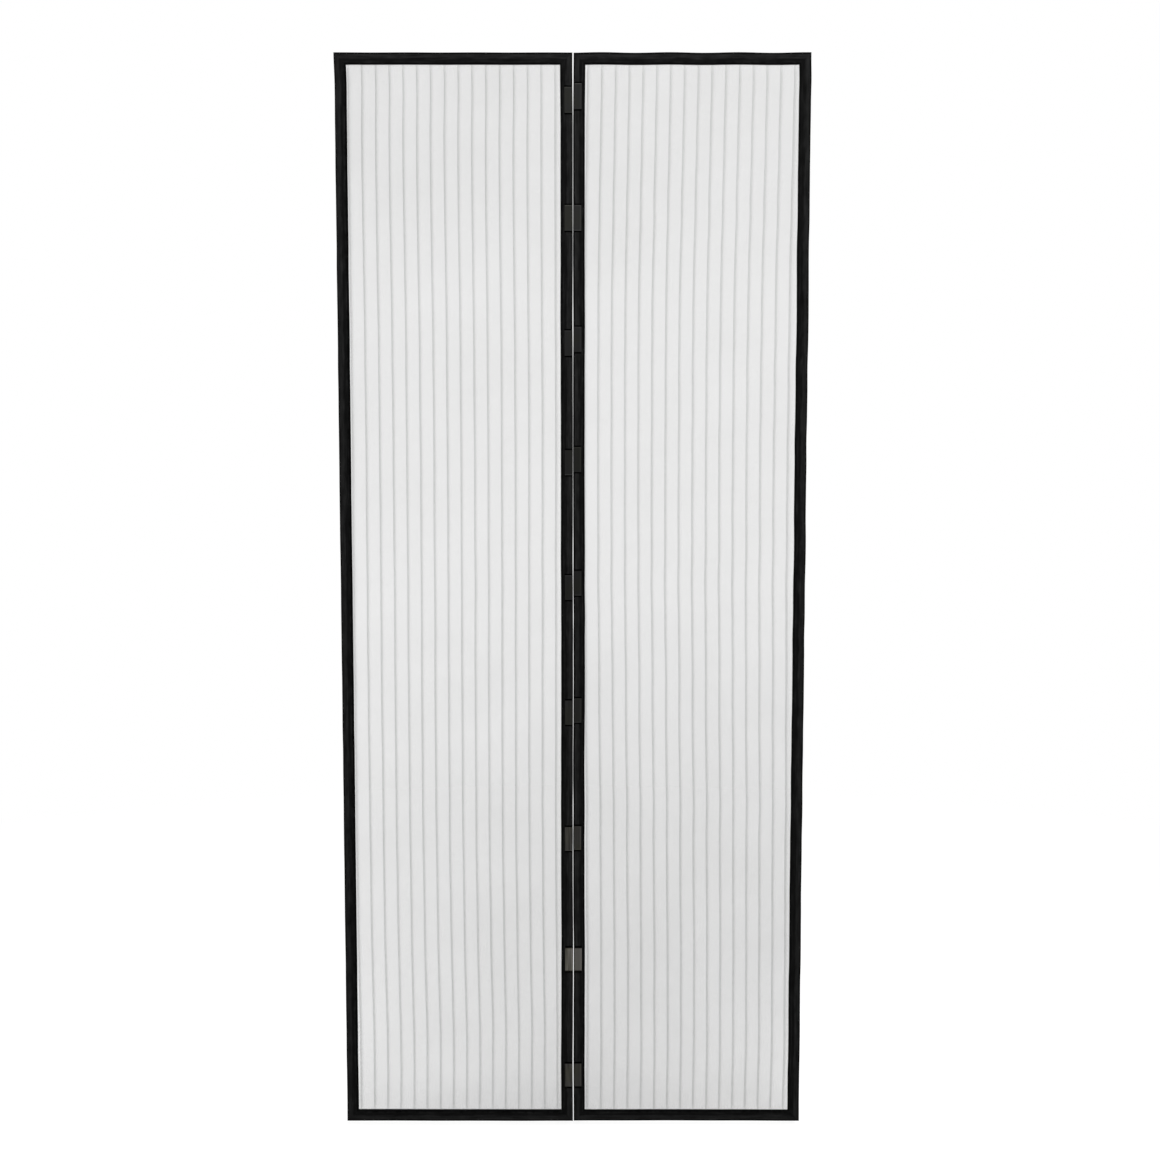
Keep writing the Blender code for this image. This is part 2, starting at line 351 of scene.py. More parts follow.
netLook = {
    "pitch": 0.0012,  # from thread to thread
    # A thread's share of the pitch in a bay, and what it gains on a rib, by height
    "heights": (0.0, 0.12, 0.33, 0.55, 0.80, 1.10, 1.60, 1.95, 2.10),
    "thread": {"left": (0.358, 0.290, 0.281, 0.256, 0.205, 0.185, 0.216, 0.296, 0.332),
               "right": (0.362, 0.316, 0.331, 0.286, 0.238, 0.196, 0.218, 0.293, 0.316)},
    "ribGain": (0.22, 0.23, 0.24, 0.252, 0.26, 0.265, 0.295, 0.37, 0.37),
    "endGain": 0.6,  # the share of that gain that is left where the ribs flatten
    # What it gains at the hem towards the meeting edge, and up to what height this is felt
    "lean": {"left": 0.11, "right": 0.09},
    "leanReach": {"left": 1.5, "right": 0.3},
    "slack": 0.05,  # how unevenly thick the threads are
    "slackScale": 9.0,
    "colour": (0.56, 0.56, 0.56),
    "dusty": (0.52, 0.52, 0.515),
    "dustScale": 5.0,
    "relief": (0.00012, 0.6),  # of the bump: its depth and strength
}


def makeNetGroup():
    # Open net in metres of cloth: fine threads up and across with square holes between
    # them. Thread is a thread's share of the pitch, and Cover is 1 on a thread.
    group, start, end = newGroup(
        "openNet", "Cloth", {"Pitch": 0.0012, "Thread": 0.29}, ["Cover", "Height"])
    cloth = addNode(group, "SeparateXYZ", Vector=start["Cloth"]).outputs
    slack = noiseNode(group, start["Cloth"], netLook["slackScale"])
    slack = calc(group, "SUBTRACT", slack, 0.5)
    width = calc(group, "MULTIPLY_ADD", slack, netLook["slack"], start["Thread"])
    covers, heights = [], []
    for axis in (0, 1):
        place = calc(group, "DIVIDE", cloth[axis], start["Pitch"])
        fromThread = calc(group, "PINGPONG", place, 0.5)
        fromThread = calc(group, "MULTIPLY", fromThread, 2.0)
        covers.append(calc(group, "LESS_THAN", fromThread, width))
        rounded = calc(group, "DIVIDE", fromThread, width)
        heights.append(calc(group, "SUBTRACT", 1.0, rounded, clamp=True))
    group.links.new(calc(group, "MAXIMUM", *covers), end["Cover"])
    group.links.new(calc(group, "MAXIMUM", *heights), end["Height"])
    return group


def makeHandlingGroup():
    # Marks of use in the object's own space: soft clouds, and streaks drawn out upwards
    group, start, end = newGroup(
        "handling", "Place", {"Cloud Scale": 14.0, "Streak Scale": 60.0},
        ["Cloud", "Streak"])
    place = start["Place"]
    cloud = noiseNode(group, place, start["Cloud Scale"], 4.0)
    streak = noiseNode(group, place, start["Streak Scale"], 3.0, stretch=(6, 6, 0.35))
    group.links.new(cloud, end["Cloud"])
    group.links.new(streak, end["Streak"])
    return group


groups = {"weave": makeWeaveGroup(), "net": makeNetGroup(), "handling": makeHandlingGroup()}


def newMaterial(name, roughnessValue, specular):
    material = bpy.data.materials.new(name)
    material.use_nodes = True
    tree = material.node_tree
    shader = feedNode(tree, tree.nodes["Principled BSDF"], Roughness=roughnessValue,
                      Specular_IOR_Level=specular)
    return material, tree, shader


def placeGroup(tree, name, **values):
    node = tree.nodes.new("ShaderNodeGroup")
    node.node_tree = groups[name]
    return feedNode(tree, node, **values).outputs


def uvNode(tree):
    node = tree.nodes.new("ShaderNodeUVMap")
    node.uv_map = "cloth"
    return node.outputs["UV"]


def objectNode(tree):
    return tree.nodes.new("ShaderNodeTexCoord").outputs["Object"]


def attributeNode(tree, name):
    node = tree.nodes.new("ShaderNodeAttribute")
    node.attribute_name = name
    return node.outputs["Fac"]


def bump(tree, shader, height, distance, strength):
    node = addNode(tree, "Bump", Height=height, Distance=distance, Strength=strength)
    tree.links.new(node.outputs[0], shader.inputs["Normal"])


def makeNetMaterial():
    # Pale yarn with real holes between its threads, closer knit along the ribs
    material, tree, shader = newMaterial("net", 0.8, 0.15)
    net = placeGroup(tree, "net", Cloth=uvNode(tree), Pitch=netLook["pitch"],
                     Thread=attributeNode(tree, "thread"))
    handling = placeGroup(tree, "handling", Place=objectNode(tree),
                          Cloud_Scale=netLook["dustScale"])
    dust = remap(tree, handling["Cloud"], 0.35, 0.7, 0.0, 1.0)
    feedNode(tree, shader, Alpha=net["Cover"],
             Base_Color=blended(tree, dust, netLook["colour"], netLook["dusty"]))
    bump(tree, shader, net["Height"], *netLook["relief"])
    return material


tapeLook = {
    # The inner half's colour is partly the tape's own darker tone and partly painted shade of
    # that half
    "outer": (0.0138, 0.0138, 0.0138),
    "inner": (0.0056, 0.0056, 0.0056),
    "turnAt": 0.0112,  # where the tape turns darker, from its outer edge
    "turnOver": 0.003,
    "turnWander": 0.004,
    "warpPitch": 0.00055,
    "weftPitch": 0.00042,
    "relief": (0.00024, 0.9),
    "yarnShade": (0.9, 0.30),  # what a crown adds to the shade, and the shade between yarns
    # Long streaks and short patches: the noise's turns in a metre across and along the tape
    "streakStretch": (260, 18, 1),
    "patchStretch": (120, 45, 1),
    "streak": 0.42,  # how far a streak turns the tape darker or paler
    "streakLight": 0.38,
    "patchLight": 0.22,
    "rubbed": (0.54, 0.72),  # roughness where the tape is rubbed most and least
    # For the left and the right leaf's tapes: how strong the painted shade and highlight are
    # beside the fold and at the seam, and how dark the painted shade of the stitch pits is
    "fold": {"top": (1.0, 1.0), "hem": (0.8, 0.8), "outer": (0.5, 0.6), "meeting": (0.0, 1.0)},
    "seam": {"top": (1.0, 1.0), "hem": (0.5, 0.5), "outer": (1.0, 0.8), "meeting": (0.8, 1.0)},
    "pits": {"top": (0.5, 0.7), "hem": (1.0, 1.0), "outer": (0.8, 0.3), "meeting": (0.5, 0.6)},
    "pitScale": 110.0,
    # Bands of painted shade and highlight along the tape: depth from its edge, reach, and how
    # much paler or darker they are
    "bands": (
        ("fold", 0.0019, 0.0015, -0.88),  # painted shade: the crease beside the fold lies in shade
        ("fold", 0.0045, 0.0014, 0.3),  # painted highlight: the cloth swells beyond it and takes more light
        ("seam", 0.0207, 0.0012, -0.9),  # painted shade: the seam lies deep
        ("seam", 0.0180, 0.0011, 0.45),  # painted highlight: the cloth stands up beside the seam
        # painted shade in the pits that the stitches pull in the cloth
        ("pits", 0.0195, 0.0026, -0.8)),
}


def makeTapeMaterial():
    # Black woven tape, darker in the half that is sewn down on the net: partly the tape's own
    # tone there and partly painted shade, as that half faces less of the bright surroundings
    material, tree, shader = newMaterial("tape", 0.62, 0.02)
    cloth = uvNode(tree)
    weave = placeGroup(tree, "weave", Cloth=cloth, Warp_Pitch=tapeLook["warpPitch"],
                       Weft_Pitch=tapeLook["weftPitch"])
    depth = addNode(tree, "SeparateXYZ", Vector=cloth).outputs[0]
    streak = noiseNode(tree, cloth, 1.0, 3.0, 0.6, stretch=tapeLook["streakStretch"])
    patch = noiseNode(tree, cloth, 1.0, 2.0, 0.5, stretch=tapeLook["patchStretch"])
    strayed = calc(tree, "SUBTRACT", patch, 0.5)
    strayed = calc(tree, "MULTIPLY_ADD", strayed, tapeLook["turnWander"], depth)
    turn, over = tapeLook["turnAt"], tapeLook["turnOver"] / 2
    darker = remap(tree, strayed, turn - over, turn + over, 0.0, 1.0)
    drawn = remap(tree, streak, 0.3, 0.7, -tapeLook["streak"], tapeLook["streak"])
    darker = calc(tree, "ADD", darker, drawn, clamp=True)
    colour = blended(tree, darker, tapeLook["outer"], tapeLook["inner"])
    shade = calc(tree, "MULTIPLY_ADD", weave["Height"], *tapeLook["yarnShade"])
    for noise, gain in ((streak, tapeLook["streakLight"]), (patch, tapeLook["patchLight"])):
        lit = remap(tree, noise, 0.3, 0.7, 1 + gain, 1 - gain)
        shade = calc(tree, "MULTIPLY", shade, lit)
    # Each band of painted shade and highlight is a bell curve across the tape, and the painted
    # shade of the pits is broken up by noise
    spots = noiseNode(tree, objectNode(tree), tapeLook["pitScale"], 1.0)
    spots = remap(tree, spots, 0.50, 0.60, 0.0, 1.0)
    shares = {label: attributeNode(tree, label) for label in ("fold", "seam", "pits")}
    shares["pits"] = calc(tree, "MULTIPLY", spots, shares["pits"])
    for label, at, reach, gain in tapeLook["bands"]:
        off = calc(tree, "DIVIDE", calc(tree, "SUBTRACT", depth, at), reach)
        hump = calc(tree, "MULTIPLY", calc(tree, "MULTIPLY", off, off), -1.0)
        hump = calc(tree, "MULTIPLY", calc(tree, "EXPONENT", hump), shares[label])
        hump = calc(tree, "MULTIPLY_ADD", hump, gain, 1.0)
        shade = calc(tree, "MULTIPLY", shade, hump)
    handling = placeGroup(tree, "handling", Place=objectNode(tree))
    feedNode(tree, shader, Base_Color=times(tree, colour, shade),
             Roughness=remap(tree, handling["Streak"], 0.3, 0.7, *tapeLook["rubbed"]))
    bump(tree, shader, weave["Height"], *tapeLook["relief"])
    return material


threadLook = {
    # Each thread's darkest and lightest grey, and its specular level
    "thread": (0.0015, 0.0050, 0.04),
    # Near black: the tacks' black thread, darkened further by painted shade at the magnets'
    # ends
    "tackThreadAndShade": (0.0004, 0.0012, 0.0),
    "twistScale": 900.0,
}


def makeThreadMaterial(name):
    # Black sewing thread, with its twist as fine specks
    dark, light, specular = threadLook[name]
    material, tree, shader = newMaterial(name, 0.5, specular)
    twist = noiseNode(tree, objectNode(tree), threadLook["twistScale"], 1.0)
    feedNode(tree, shader, Base_Color=blended(tree, twist, (dark,) * 3, (light,) * 3))
    return material


magnetLook = {
    # From the top pair down: how pale each magnet is, partly its own tone and partly a painted
    # reflection that is strongest on the eighth pair; how strong the painted highlight is at
    # its upper end, lower end and right side; and how strong its lines are
    # How pale each magnet is: partly its own tone and partly a painted reflection of the light
    # that a tilted magnet catches, strongest on the eighth pair
    "tone": {"left": (0.0158, 0.0190, 0.0140, 0.0122, 0.0124, 0.0170, 0.0420, 0.1180, 0.0480),
             "right": (0.0162, 0.0195, 0.0143, 0.0125, 0.0121, 0.0146, 0.0325, 0.1010, 0.0345)},
    "topWear": {"left": (1.2, 2.0, 1.2, 0.2, 2.0, 0.2, 0.3, 0.3, 0.4),
                "right": (2.7, 1.5, 1.2, 1.7, 0.1, 1.0, 0.6, 0.3, 0.4)},
    "footHighlight": {"left": (0.6, 0.5, 0.2, 2.8, 0.1, 0.2, 0.8, 0.6, 0.8),
                 "right": (0.2, 1.5, 0.1, 0.4, 2.2, 1.5, 1.0, 0.4, 0.8)},
    "sideWear": {"left": 0.0, "right": 0.8},
    "streaks": {"left": (0.08, 0.08, 0.08, 0.08, 0.10, 0.22, 0.75, 0.60, 0.75),
                "right": (0.06, 0.06, 0.12, 0.14, 0.12, 0.16, 0.12, 0.12, 0.12)},
    "dust": (0.0, 0.0, 0.0, 0.0, 0.0, 0.1, 0.7, 0.8, 0.7),  # how brown each pair is
    "olive": (1.0, 1.01, 0.87),
    "brown": (1.0, 0.93, 0.84),
    "highlightFull": 0.0006,  # the painted highlight is full up to here from the rim, and ends at its reach
    "highlightReach": 0.0024,
    "cloudScale": 22.0,
    "streakScale": 42.0,
    "satin": (0.36, 0.52),  # roughness of the clouds
    "relief": (0.00006, 0.5),
}


def makeMagnetMaterial():
    # Flexible magnet: dark rubber with drawn lines along it, an olive bloom in soft clouds,
    # brown dust, a painted highlight that makes it paler at its rim, and on some magnets a
    # painted reflection in its tone
    material, tree, shader = newMaterial("magnet", 0.42, 0.06)
    handling = placeGroup(tree, "handling", Place=objectNode(tree),
                          Cloud_Scale=magnetLook["cloudScale"],
                          Streak_Scale=magnetLook["streakScale"])
    cloud, streak = handling["Cloud"], handling["Streak"]
    pale = remap(tree, streak, 0.25, 0.75, -1.0, 1.0)
    pale = calc(tree, "MULTIPLY_ADD", pale, attributeNode(tree, "streaks"), 1.0)
    # The painted highlight at the rim makes the magnet paler there
    pale = calc(tree, "ADD", pale, attributeNode(tree, "wear"))
    # The tone carries the painted reflection of some magnets
    pale = calc(tree, "MULTIPLY", pale, attributeNode(tree, "tone"))
    bloom = remap(tree, cloud, 0.46, 0.58, 0.0, 1.0)
    tint = blended(tree, bloom, (1, 1, 1), magnetLook["olive"])
    brown = blended(tree, attributeNode(tree, "dust"), (1, 1, 1), magnetLook["brown"])
    feedNode(tree, shader, Base_Color=times(tree, times(tree, tint, brown), pale),
             Roughness=remap(tree, cloud, 0.3, 0.7, *magnetLook["satin"]))
    bump(tree, shader, streak, *magnetLook["relief"])
    return material


pileLook = {
    "loopScale": 1500.0,
    "tuftScale": 350.0,
    "dark": (0.006, 0.006, 0.006),
    "light": (0.020, 0.020, 0.020),
    "relief": (0.0006, 0.9),
}


def makeLoopMaterial():
    # Loop pile: a felt of fine loops, gathered in tufts
    material, tree, shader = newMaterial("loopPile", 0.9, 0.08)
    pile = noiseNode(tree, objectNode(tree), pileLook["loopScale"], 3.0, 0.7)
    tufts = noiseNode(tree, objectNode(tree), pileLook["tuftScale"])
    mixed = calc(tree, "MULTIPLY", pile, tufts)
    share = remap(tree, mixed, 0.12, 0.42, 0.0, 1.0)
    feedNode(tree, shader, Base_Color=blended(tree, share, pileLook["dark"], pileLook["light"]))
    bump(tree, shader, mixed, *pileLook["relief"])
    return material


materials = {
    "net": makeNetMaterial(),
    "tape": makeTapeMaterial(),
    "thread": makeThreadMaterial("thread"),
    "tackThreadAndShade": makeThreadMaterial("tackThreadAndShade"),
    "magnet": makeMagnetMaterial(),
    "loop": makeLoopMaterial(),
}
print("materials ready")


# Net

rib = {
    "count": 16,
    "pitch": 0.02615,
    "face": 0.0020,  # steep side, on the left of each crest
    "slope": 0.0065,  # soft side
    "height": 0.0011,
    "baySag": 0.0007,
    "bayMargin": 0.28,  # of the pitch, over which the sag starts beside a tape
    "offset": {"left": -0.0033, "right": -0.0015},
    # How far the ribs drift sideways, in millimetres by height, at the leaf's edges and in
    # its middle
    "driftHeights": (0.0, 0.15, 0.40, 0.64, 0.88, 1.12, 1.35, 1.59, 1.81, 1.93, 2.04),
    "driftEdge": {
        "left": (1.9, 2.15, 0.2, -0.4, -0.55, -0.4, 0.5, 0.3, -0.3, -0.35, 0.4),
        "right": (-2.0, -0.15, -0.95, -1.4, -4.0, -5.7, -5.7, -5.65, -3.45, -1.5, -0.5)},
    "driftMiddle": {
        "left": (3.0, 4.8, 0.9, -0.65, -0.95, 0.2, 0.35, 0.1, -1.65, -1.8, -0.2),
        "right": (1.5, 2.7, 1.4, -0.55, -4.15, -6.85, -7.0, -7.3, -3.8, -1.75, -0.45)},
    "driftCurve": 0.6,  # below 1, the middle's drift reaches farther out
    "stray": 0.0003,
    "strayStep": 0.11,
    "straySeed": 60,
    "coreHalf": 0.0012,
    "knitStart": 0.0010,  # over which the closer knit starts, on the steep side
    "knitEnd": 0.0020,  # over which most of it ends, on the soft side
    "fade": 0.0075,  # over which the rest thins out
    "faded": 0.30,  # how much that rest is
    "fadeCurve": 1.5,
    "tuck": 0.018,  # how far the net reaches into the tapes
    "endFade": 0.010,
    # The net's columns, by their distance to the right of each crest, and its rows
    "columns": (-0.0030, -0.0022, -0.0017, -0.0012, -0.0006, 0.0, 0.0006, 0.0012,
                0.0020, 0.0032, 0.0050, 0.0075, 0.0110, 0.0165, 0.0205),
    "rows": 210,
    "edgeClear": 0.001,  # least distance of a column from the net's two sides
    "riseBeside": (-0.001, 0.002),  # where a rib rises beside the meeting tape's inner edge
}


def ribShape(t):
    # Height of a rib at a distance t to the right of its crest: an S-curve up the steep side
    # and down the soft side
    rise = smoothStep(t, -rib["face"], 0)
    fall = 1 - smoothStep(t, 0, rib["slope"])
    return rib["height"] * np.where(t < 0, rise, fall)


def ribKnit(t):
    # How much closer the knit is: full over the core, gone sharply on its left, and on its
    # right gone soon for the most part and slowly for the rest
    core, faded = rib["coreHalf"], rib["faded"]
    left = smoothStep(t, -core - rib["knitStart"], -core)
    soon = 1 - smoothStep(t, core, core + rib["knitEnd"])
    slowly = (1 - smoothStep(t, core, core + rib["fade"])) ** rib["fadeCurve"]
    return np.where(t < 0, left, faded * slowly + (1 - faded) * soon)


def addNet(sideName):
    # A grid with close columns round each rib, where the height is the nearest rib's shape,
    # strayed sideways by a slow wave, less the sag of the bay between two ribs
    side = sides[sideName]
    widths = leaf["tapeWidths"][sideName]
    pitch = rib["pitch"]
    first = leaf["width"] / 2 - (rib["count"] - 1) * pitch / 2 + side * rib["offset"][sideName]
    crests = first + pitch * np.arange(rib["count"])
    columns = (crests[:, None] + side * np.array(rib["columns"])).ravel()
    # The net's own edges, inside the tapes, and the tapes' inner edges
    meetingIn, outerIn = widths["meeting"], leaf["width"] - widths["outer"]
    hemIn, topIn = widths["hem"], leaf["height"] - widths["top"]
    low, high = meetingIn - rib["tuck"], outerIn + rib["tuck"]
    bottom, top = hemIn - rib["tuck"], topIn + rib["tuck"]
    clear = rib["edgeClear"]
    columns = columns[(columns > low + clear) & (columns < high - clear)]
    columns = np.concatenate([columns, [low, high, meetingIn, outerIn]])
    columns = np.unique(np.round(columns, 6))
    rows = np.linspace(bottom, top, rib["rows"])
    across, z = np.meshgrid(columns, rows)
    nearest = np.round((across - first) / pitch).clip(0, rib["count"] - 1).astype(int)
    # The drift of the ribs: full from the first rib to the last, none at the tucked edges,
    # and a little unevenness of each rib's own
    share = np.clip((across - crests[0]) / (crests[-1] - crests[0]), 0, 1)
    bulge = np.sin(np.pi * share) ** rib["driftCurve"]
    edge, centre = (between(z, rib["driftHeights"], rib[place][sideName]) / 1000
                    for place in ("driftEdge", "driftMiddle"))
    own = unevenness(rib["straySeed"] + side, leaf["height"] + leaf["spare"],
                     rib["strayStep"], rib["count"])
    drift = edge * (1 - bulge) + centre * bulge + rib["stray"] * own(z, nearest)
    drift = drift * smoothStep(across, low, crests[0])
    drift = drift * smoothStep(high - across, 0, high - crests[-1])
    # Distance to the right of the crest, seen from the room, for this rib and the one before
    t = side * (across - crests[nearest])
    before = t + pitch
    isFirst = nearest == (0 if side > 0 else rib["count"] - 1)
    shape = np.maximum(ribShape(t), np.where(isFirst, 0, ribShape(before)))
    knit = np.maximum(ribKnit(t), np.where(isFirst, 0, ribKnit(before)))
    bay = np.sin(np.pi * (t % pitch) / pitch) ** 2
    # The net lies flat where the tapes grip it
    drifted = across + side * drift
    ends = plateau(z, hemIn, topIn, rib["endFade"])
    bay = bay * plateau(drifted, meetingIn, outerIn, rib["bayMargin"] * pitch)
    start, full = rib["riseBeside"]
    free = smoothStep(drifted, meetingIn + start, meetingIn + full)
    points = hang(sideName, drifted, (rib["baySag"] * bay - shape * free) * ends, z)
    faces = gridFaces(len(rows), len(columns))
    uv = gridUv(side * across, z)
    if side < 0:
        faces, uv = faces[:, ::-1], uv[:, ::-1]
    thread = between(z, netLook["heights"], netLook["thread"][sideName])
    felt = 1 - smoothStep(z, 0, netLook["leanReach"][sideName])
    thread = thread + netLook["lean"][sideName] * felt * (0.5 - across / leaf["width"])
    gain = between(z, netLook["heights"], netLook["ribGain"])
    gain = gain * np.maximum(ends, netLook["endGain"])
    piece = makePiece("net_" + sideName, points.reshape(-1, 3), faces, materials["net"],
                      uv, {"thread": thread + gain * knit})
    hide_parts("net_" + sideName)


# Binding tapes

tape = {
    "thickness": 0.0007,
    "slotHalf": 0.00055,  # half of the room inside the fold
    "crown": 0.0003,
    "crownCurve": 0.8,
    "seamIn": 0.0030,  # from the inner edge of the tape to its row of stitches
    "dimple": 0.00022,
    "dimpleReach": 0.0009,
    # The front's points: so far from the lip, at such shares of the width, and so far from
    # the fold
    "fromLip": (0.0002, 0.0012, 0.0022, 0.0030, 0.0040, 0.0058),
    "shares": (0.55, 0.36, 0.2),
    "fromFold": 0.0028,
    "frontFrom": 0.4,  # of the thickness, outwards: from here on a point is on the front
    "step": 0.006,
    "seed": 100,
    "pucker": 0.00016,  # beside the seam
    "puckerStep": 0.011,
    "puckerReach": 0.0035,
    "swell": 0.00010,  # elsewhere
    "swellStep": 0.05,
    "swellSeed": 150,
    "mitreLap": 0.00008,  # the two tapes run this far into each other at a corner
    "uvApart": 0.31,  # from tape to tape along the cloth's pattern, so that none repeats
}


def tapeSection(width):
    # The folded tape's section as a closed run, with its depths from the outer edge and its
    # y: the front from its lip to the fold, round the fold, the back to its lip, and the
    # inside again. The front swells along its middle and dips where it is sewn down.
    inner = tape["slotHalf"]
    half = inner + tape["thickness"]
    bevel = tape["thickness"] / 4
    seam = width - tape["seamIn"]
    lipIn = width - tape["fromLip"][0]
    front = np.concatenate([width - np.array(tape["fromLip"]),
                            width * np.array(tape["shares"]), [tape["fromFold"]]])
    back = front[::-1][1:]
    crown = tape["crown"] * np.sin(np.pi * np.clip(front / seam, 0, 1)) ** tape["crownCurve"]
    frontDip, backDip = (tape["dimple"] * bell(depths, seam, tape["dimpleReach"])
                         for depths in (front, back))
    turn = np.linspace(-math.pi / 2, math.pi / 2, 9)
    turnIn = np.linspace(math.pi / 2, -math.pi / 2, 5)
    parts = [
        (front, frontDip - half - crown),
        (half - half * np.cos(turn), half * np.sin(turn)),
        (back, half - backDip),
        ([width, width, lipIn], [half - bevel, inner + bevel, inner]),
        (half - inner * np.cos(turnIn), inner * np.sin(turnIn)),
        ([lipIn, width, width], [-inner, -inner - bevel, -half + bevel])]
    return [np.concatenate(column) for column in zip(*parts)]


def addTape(edge, sideName, index):
    # The section carried along one edge of the flat leaf. Each end is cut on the mitre: the
    # deeper a point lies, the later its run starts.
    widths = leaf["tapeWidths"][sideName]
    width, length = widths[edge], edgeLength(edge)
    depth, y = tapeSection(width)
    neighbours = ("meeting", "outer") if edge in ("top", "hem") else ("hem", "top")
    startWidth, endWidth = (widths[neighbour] for neighbour in neighbours)
    share = np.linspace(0, 1, int(length / tape["step"]) + 1)[:, None]
    begin = depth * startWidth / width - tape["mitreLap"]
    finish = length - depth * endWidth / width + tape["mitreLap"]
    along = begin + share * (finish - begin)
    near = bell(depth, width - tape["seamIn"], tape["puckerReach"])
    pucker = unevenness(tape["seed"] + index, length, tape["puckerStep"], 4)
    swell = unevenness(tape["swellSeed"] + index, length, tape["swellStep"], 2)
    ripple = tape["pucker"] * pucker(along, 1) * near
    ripple = ripple + tape["swell"] * swell(along, 0) * (1 - near)
    isFront = y < -tape["slotHalf"] - tape["thickness"] * tape["frontFrom"]
    across, z = onEdge(edge, along, np.broadcast_to(depth, along.shape))
    points = hang(sideName, across, y - np.where(isFront, np.abs(ripple), 0), z)
    rows, columns = along.shape
    u = np.broadcast_to(np.append(depth, depth[0]), (rows, columns + 1))
    v = np.concatenate([along, along[:, :1]], axis=1) + tape["uvApart"] * index
    leafIndex = list(sides).index(sideName)
    # This tape's strengths of the painted shade and highlight bands
    values = {label: tapeLook[label][edge][leafIndex] for label in ("fold", "seam", "pits")}
    piece = makeTube(edge + "_tape_" + sideName, points, materials["tape"], 50,
                     gridUv(u, v), values)
    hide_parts(edge + "_tape_" + sideName)


# Stitches

stitch = {
    "pitch": 0.0032,
    "length": 0.0026,
    "radius": 0.00021,
    "taper": (0.55, 1.0, 0.55),  # of the radius, from end to end
    "rise": 0.00016,
    "endGap": 0.001,  # from the mitre to the first stitch
    "wobble": 0.00018,
    "wobbleStep": 0.03,
    "seed": 11,
    # The second row on the top and outer tapes: its depth, and how far the front's crown
    # lifts it
    "secondDepth": 0.0047,
    "secondLift": 0.00018,
    "secondSeed": 31,
}


def stitchPoints(along, lift, radius):
    # One stitch along its own x as three diamond rings, thinner at both ends: where each
    # ring is along it, and how far it is lifted to -y
    rings = []
    for place, rise, share in zip(along, lift, stitch["taper"]):
        for turn in range(4):
            angle = turn * math.pi / 2
            rings.append((place, -rise - radius * share * math.cos(angle),
                          radius * share * math.sin(angle)))
    return np.array(rings)


def sewRow(across, y, z, alongX, alongZ, shape):
    # Stitches of one shape at the given places of the flat leaf, each along its own
    # direction (alongX, alongZ). Returns flat-leaf points as (across, y, z).
    across, z, alongX, alongZ = (
        part[:, None] for part in np.broadcast_arrays(across, z, alongX, alongZ))
    length = np.hypot(alongX, alongZ)
    s, b, w = shape.T
    px = across + (s * alongX - w * alongZ) / length
    pz = z + (s * alongZ + w * alongX) / length
    return np.stack([px, np.broadcast_to(y + b, px.shape), pz], axis=-1)


def seamLine(edge, depth, y, seed):
    # A row of stitches at one depth along one edge of the leaf, from mitre to mitre. On the
    # back, where y is above 0, they stand out to +y.
    length = edgeLength(edge)
    end = depth + stitch["endGap"]
    places = np.arange(end, length - end, stitch["pitch"])
    wobble = stitch["wobble"] * unevenness(seed, length, stitch["wobbleStep"])(places)
    across, z = onEdge(edge, places, depth + wobble)
    half = stitch["length"] / 2
    shape = stitchPoints((-half, 0, half), (0, stitch["rise"], 0), stitch["radius"])
    shape = shape * (1, -1 if y > 0 else 1, 1)
    direction = (1, 0) if edge in ("top", "hem") else (0, 1)
    return sewRow(across, y, z, *direction, shape)


def addStitches(name, sideName, flat, material="thread"):
    # All stitches of a kind as one piece. flat holds each stitch's points in the flat leaf:
    # three rings of four, which are closed at both ends.
    count, corners = flat.shape[:2]
    faces = np.concatenate([gridFaces(3, 4, wrap=True), [[0, 1, 2, 3], [11, 10, 9, 8]]])
    faces = (faces + (np.arange(count) * corners)[:, None, None]).reshape(-1, 4)
    points = hang(sideName, flat[..., 0], flat[..., 1], flat[..., 2]).reshape(-1, 3)
    piece = makePiece(name + sideName, points, faces, materials[material])
    turnOutward(piece, 80)


def addSeams(sideName):
    # Front and back rows: one near the inner edge of every tape, and a second one near the
    # outer edge of the top and outer tapes, where the loop strip is sewn on
    half = tape["slotHalf"] + tape["thickness"]
    surface = half - tape["dimple"]
    front, rear = [], []
    for index, edge in enumerate(edges):
        inner = leaf["tapeWidths"][sideName][edge] - tape["seamIn"]
        front.append(seamLine(edge, inner, -surface, stitch["seed"] + index))
        rear.append(seamLine(edge, inner, surface, stitch["seed"] + index))
        if edge in ("top", "outer"):
            front.append(seamLine(edge, stitch["secondDepth"], -half - stitch["secondLift"],
                                  stitch["secondSeed"] + index))
    addStitches("front_stitches_", sideName, np.concatenate(front))
    addStitches("back_stitches_", sideName, np.concatenate(rear))


# Magnets

magnet = {
    "length": 0.049,
    "width": {"left": 0.0155, "right": 0.0142},
    "thickness": 0.0015,
    "inset": {"left": 0.0003, "right": 0.0015},
    "seatY": -0.00185,
    "cornerRadius": 0.0009,
    "edgeRadius": 0.00035,
    "crown": 0.00006,
    # Rings on the front: how far in from the rim, and their share of the crown
    "frontIn": (0.0034, 0.0024, 0.0012),
    "frontCrown": (1.0, 0.8, 0.4),
    # The tacks at both ends of a magnet start on the tape and bend over the magnet's end
    "tackOut": 0.0026,
    "tackKnee": 0.00025,  # from the magnet's end out to where a tack bends
    # How far they reach over it, in millimetres, at the foot and the top of each pair
    "tackOver": {"foot": (0.3, 0.3, 0.4, 0.2, 0.3, 0.3, 0.8, 2.2, 1.8),
                 "top": (0.3, 0.3, 0.3, 0.3, 0.3, 0.3, 0.7, 1.9, 0.9)},
    "tackTapeY": -0.00160,
    "tackMagnetY": -0.00350,
    "tackStitches": 34,
    "tackIn": 0.0004,  # from the magnet's sides to the first and last stitch
    "tackLean": 0.22,  # of each stitch, to one side and the other in turn
    "tackRadius": 0.00030,
}


